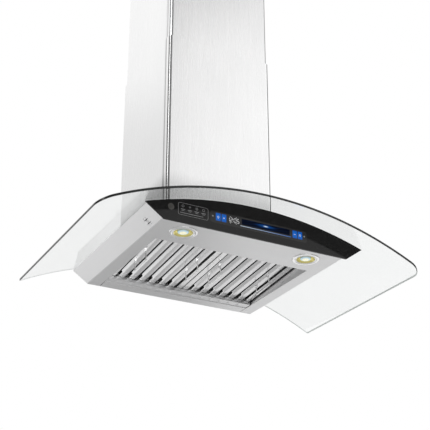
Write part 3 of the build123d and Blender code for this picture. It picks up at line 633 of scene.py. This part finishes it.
def make_canopy():
    centre = glass_crown - glass_thickness - arch_radius
    points = []
    faces = []
    picks = []
    rings = []
    for inset, height in rim_outline:
        right = half_columns(inset * mm)
        left = [(-x, front, rear) for x, front, rear in reversed(right[1:])]
        radius = arch_radius + height * mm
        fronts = []
        for x, front, rear in left + right:
            z = centre + math.sqrt(radius * radius - x * x)
            fronts.append(len(points))
            points += [(x, front, z), (x, rear, z)]
        rings.append(fronts)
    for ring, turned in ((rings[0], False), (rings[-1], True)):
        for here, there in zip(ring, ring[1:]):
            if abs(points[here][0] - points[there][0]) < same_spot:
                continue
            face = [here, there, there + 1, here + 1]
            faces.append(face[::-1] if turned else face)
            picks.append(0)
    loops = [ring + [front + 1 for front in reversed(ring)] for ring in rings]
    for upper, lower in zip(loops, loops[1:]):
        for index in range(len(upper)):
            after = (index + 1) % len(upper)
            run = Vector(points[upper[after]]) - Vector(points[upper[index]])
            outward = Vector((run.y, -run.x))
            if outward.length < same_spot:
                continue
            faces.append([upper[index], lower[index], lower[after], upper[after]])
            # Painted shade on the rim faces towards the front and the left, painted highlight on the rest.
            picks.append(1 if outward.dot(shaded_side) > 0.0 else 2)
    glass = add_piece("canopy_glass", points, faces, ["clear_glass", "rim_painted_dark", "rim_painted_lit"], picks)
    finish_mesh(glass)
    stand_in(glass, "hood", "canopy_glass", "glass_canopy")


# Lamps
def lathe(name, profile, middle, finish, steps=96):
    """Turns a closed outline of (radius, height) in millimetres about a lamp's middle."""
    points = []
    faces = []
    count = len(profile)
    for step in range(steps):
        angle = 2 * math.pi * step / steps
        for radius, height in profile:
            x = middle.x + radius * mm * math.cos(angle)
            y = middle.y + radius * mm * math.sin(angle)
            points.append((x, y, cad_underside + height * mm))
    for step in range(steps):
        here = step * count
        there = (step + 1) % steps * count
        for index in range(count):
            upper = (index + 1) % count
            if profile[index][0] == 0.0 and profile[upper][0] == 0.0:
                continue
            faces.append([here + index, there + index, there + upper, here + upper])
    return add_piece(name, points, faces, [finish])


bezel_outline = [
    (24.0, 1.2), (24.0, -0.7), (24.4, -1.25), (25.0, -1.5), (25.9, -1.55), (26.6, -1.2), (27.0, -0.8),
    (28.0, -0.75), (28.6, -1.0), (29.4, -1.5), (30.2, -1.6), (33.6, -1.6), (34.6, -1.45), (35.4, -1.1),
    (35.9, -0.6), (36.0, 0.0), (31.6, 0.0), (31.6, 14.0), (30.0, 14.0), (30.0, 1.2),
]
dish_outline = [
    (23.9, -1.0), (22.6, -0.5), (22.3, -0.1), (20.2, 0.6), (19.9, 1.0), (17.8, 1.9), (17.5, 2.3), (14.9, 3.5),
    (14.9, 4.6), (29.4, 4.6), (29.4, 3.6), (24.0, 0.2),
]
lens_outline = [(0.0, -1.2), (5.0, -1.15), (9.0, -1.0), (11.6, -0.5), (13.4, 0.5), (14.3, 1.9), (14.6, 3.6),
                (14.6, 4.6), (0.0, 4.6)]


def make_lamps():
    for side in ("left", "right"):
        low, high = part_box(f"{side}_lamp_bezel")
        middle = (low + high) / 2
        parts = [
            ("bezel", bezel_outline, "bezel_steel", "bright_steel"),
            ("reflector", dish_outline, "lamp_mirror", "lamp_gold"),
            ("lens", lens_outline, "lamp_glow", "lamp_lens"),
        ]
        for part, outline, finish, slot in parts:
            piece = lathe(f"{side}_{part}_turned", outline, middle, finish)
            stand_in(piece, "hood", slot, f"{side}_lamp_{part}")


# Filters: pieces are drawn in the filter's own tilted frame, whose X runs along the hinge line.
filter_tilt = math.radians(4.585)
hinge_offset = Vector((109.5 * mm, -81.5 * mm, 11.77 * mm))
baffle_count = 6
baffle_pitch = 30 * mm
baffle_half = 12.0
baffle_height = 8.0
baffle_wall = 0.8
baffle_side_share = 0.93
baffle_lift = 1.0
baffle_front = -281.4
baffle_rear = 3.0
notch_start = -31.0
notch_end = -23.0
notch_side = -6.5


def filter_frame(side):
    turn = Matrix.Rotation(-filter_tilt, 4, "X")
    return Matrix.Translation((side * hinge_offset.x, hinge_offset.y, cad_underside + hinge_offset.z)) @ turn


def baffle_section():
    """A baffle's outline in (x, z) millimetres: a sloping left third, a flat and rolled edges."""
    outer = [
        (-baffle_half, baffle_height), (-baffle_half, 2.9), (-11.7, 2.2), (-11.0, 1.8), (-9.0, 1.45),
        (-5.5, 0.75), (-3.6, 0.25), (-2.0, 0.05), (4.0, 0.0), (9.0, 0.1), (10.8, 0.5), (11.7, 1.2),
        (baffle_half, 2.2), (baffle_half, baffle_height),
    ]
    inner = []
    for x, z in reversed(outer):
        inner.append((x * baffle_side_share, z if z == baffle_height else z + baffle_wall))
    return outer + inner


def baffle_stations():
    """(y, left limit of x) in millimetres along a baffle: its left side is notched near the hinge."""
    return [
        (baffle_front, -baffle_half),
        (notch_start, -baffle_half),
        (notch_end, notch_side),
        (baffle_rear, notch_side),
    ]


def make_baffles():
    section = baffle_section()
    stations = baffle_stations()
    count = len(section)
    for side, sign in (("left", -1), ("right", 1)):
        place = filter_frame(sign)
        points = []
        faces = []
        for index in range(baffle_count):
            middle = (index - (baffle_count - 1) / 2) * baffle_pitch
            start = len(points)
            for y, left_limit in stations:
                for x, z in section:
                    spot = Vector((middle + max(x, left_limit) * mm, y * mm, (z + baffle_lift) * mm))
                    points.append(tuple(place @ spot))
            last = start + (len(stations) - 1) * count
            for here in range(start, last, count):
                there = here + count
                for step in range(count):
                    after = (step + 1) % count
                    faces.append([here + step, here + after, there + after, there + step])
            for end, turned in ((start, True), (last, False)):
                for step in range(count // 2 - 1):
                    cap = [end + step, end + step + 1, end + count - 2 - step, end + count - 1 - step]
                    faces.append(cap if turned else cap[::-1])
        piece = add_piece(f"{side}_baffle_row", points, faces, ["baffle_steel"])
        finish_mesh(piece)
        stand_in(piece, f"{side}_filter", "filter_steel", f"{side}_lower_baffles")


def tube(path, radius, sides=16):
    """Points and faces of a round wire along a planar path, its ends capped."""
    points = []
    faces = []
    across = Vector((1.0, 0.0, 0.0))
    last = len(path) - 1
    for index, spot in enumerate(path):
        ahead = (path[min(index + 1, last)] - path[max(index - 1, 0)]).normalized()
        up = across.cross(ahead)
        for side in range(sides):
            angle = 2 * math.pi * side / sides
            points.append(spot + radius * (math.cos(angle) * across + math.sin(angle) * up))
    for here in range(0, last * sides, sides):
        there = here + sides
        for side in range(sides):
            after = (side + 1) % sides
            faces.append([here + side, here + after, there + after, there + side])
    faces.append(list(range(sides))[::-1])
    faces.append([last * sides + side for side in range(sides)])
    return points, faces


def rounded(corners, radius, steps=8):
    """A path through these corners, each turned with an arc."""
    path = [corners[0]]
    for before, corner, after in zip(corners, corners[1:], corners[2:]):
        start = corner + (before - corner).normalized() * radius
        end = corner + (after - corner).normalized() * radius
        for step in range(steps + 1):
            share = step / steps
            path.append(start.lerp(corner, share).lerp(corner.lerp(end, share), share))
    return path + [corners[-1]]


handle_wire = 1.6 * mm
handle_corner = 3.4 * mm
handle_half = 34.1
handle_pin = 28.8
handle_pivot = -5.0
handle_foot = -31.0
handle_y = -136.4
handle_x = {"one": -80.0, "two": 70.0}


def make_handles():
    outline = [
        (-handle_pin, handle_pivot),
        (-handle_half, handle_pivot),
        (-handle_half, handle_foot),
        (handle_half, handle_foot),
        (handle_half, handle_pivot),
        (handle_pin, handle_pivot),
    ]
    for side, sign in (("left", -1), ("right", 1)):
        place = filter_frame(sign)
        for number, x in handle_x.items():
            corners = [place @ (Vector((x, handle_y + y, z)) * mm) for y, z in outline]
            points, faces = tube(rounded(corners, handle_corner), handle_wire)
            piece = add_piece(f"{side}_bail_{number}_wire", points, faces, ["bright_wire"])
            stand_in(piece, f"{side}_bail_{number}", "bright_steel", f"{side}_handle_{number}")


# ---------------------------------------------------------------- camera, floor and light
camera_place = Vector((-1.2097, -2.5368, -1.2690))
camera_yaw = math.radians(28.16)
camera_pitch = math.radians(25.37)
camera_lens = 87.96
camera_sensor = 36.0
camera_reach = 60.0
floor_drop = 1.65
floor_radius = 14.0
studio_grey = 0.30


def make_camera():
    data = bpy.data.cameras.new("camera")
    data.sensor_width = camera_sensor
    data.lens = camera_lens
    data.clip_end = camera_reach
    camera = bpy.data.objects.new("camera", data)
    bpy.context.scene.collection.objects.link(camera)
    ahead = Vector((
        math.sin(camera_yaw) * math.cos(camera_pitch),
        math.cos(camera_yaw) * math.cos(camera_pitch),
        math.sin(camera_pitch),
    ))
    right = Vector((math.cos(camera_yaw), -math.sin(camera_yaw), 0.0))
    turn = Matrix((right, right.cross(ahead), -ahead)).transposed()
    camera.matrix_world = Matrix.Translation(camera_place) @ turn.to_4x4()
    bpy.context.scene.camera = camera


def make_floor():
    mesh = bpy.data.meshes.new("floor")
    plan = bmesh.new()
    bmesh.ops.create_circle(plan, cap_ends=True, segments=96, radius=floor_radius)
    plan.to_mesh(mesh)
    plan.free()
    mesh.materials.append(floor_finish("floor_finish"))
    floor = bpy.data.objects.new("floor", mesh)
    floor.location = (0.0, 0.0, cad_box[0].z - floor_drop)
    bpy.context.scene.collection.objects.link(floor)


def make_world():
    """White behind the hood, falling to a soft grey in front of it and far to its left."""
    world = bpy.data.worlds.new("studio")
    world.use_nodes = True
    sky = Nodes(world.node_tree)
    x, y, _ = sky.split(sky.node("ShaderNodeTexCoord", out="Generated"))
    white = y.fade(0.05, 0.60) * x.fade(-0.78, -0.56)
    background = world.node_tree.nodes["Background"]
    sky.feed(background.inputs["Color"], sky.mix(white, grey(studio_grey), grey(1.0)))
    bpy.context.scene.world = world


def make_light(name, place, aim, width, height, brightness):
    """A softbox; its brightness is what a surface sees when it mirrors the panel."""
    data = bpy.data.lights.new(name, "AREA")
    data.shape = "RECTANGLE"
    data.size = width
    data.size_y = height
    data.energy = brightness * math.pi * width * height
    light = bpy.data.objects.new(name, data)
    light.location = place
    light.rotation_mode = "QUATERNION"
    light.rotation_quaternion = (Vector(aim) - Vector(place)).to_track_quat("-Z", "Y")
    light.visible_camera = False
    light.visible_transmission = False
    bpy.context.scene.collection.objects.link(light)


def make_lights():
    chimney_middle = (0.0, -0.15, 0.3)
    hood_middle = (0.0, -0.25, -0.18)
    make_light("right_front_panel", (2.4, -3.15, 1.95), chimney_middle, width=2.9, height=2.9, brightness=1.0)
    make_light("left_front_strip", (-2.9, -1.9, 1.6), chimney_middle, width=0.8, height=2.8, brightness=5.0)
    make_light("left_rear_panel", (-1.9, 3.0, 3.2), chimney_middle, width=1.8, height=1.2, brightness=0.22)
    make_light("low_right_panel", (1.97, 1.72, -1.48), hood_middle, width=1.8, height=1.3, brightness=0.60)
    make_light("low_rear_panel", (0.1, 1.8, -1.68), hood_middle, width=0.9, height=0.6, brightness=0.75)
    make_light("low_left_panel", (-1.8, 2.1, -1.2), hood_middle, width=2.4, height=2.2, brightness=0.45)
    make_light("low_front_panel", (-0.4, -2.4, -1.5), hood_middle, width=2.4, height=1.2, brightness=1.9)


bpy.context.scene.view_settings.view_transform = "Standard"
make_camera()
make_floor()
make_world()
make_lights()
dress_nodes()
make_canopy()
make_lamps()
make_baffles()
make_handles()
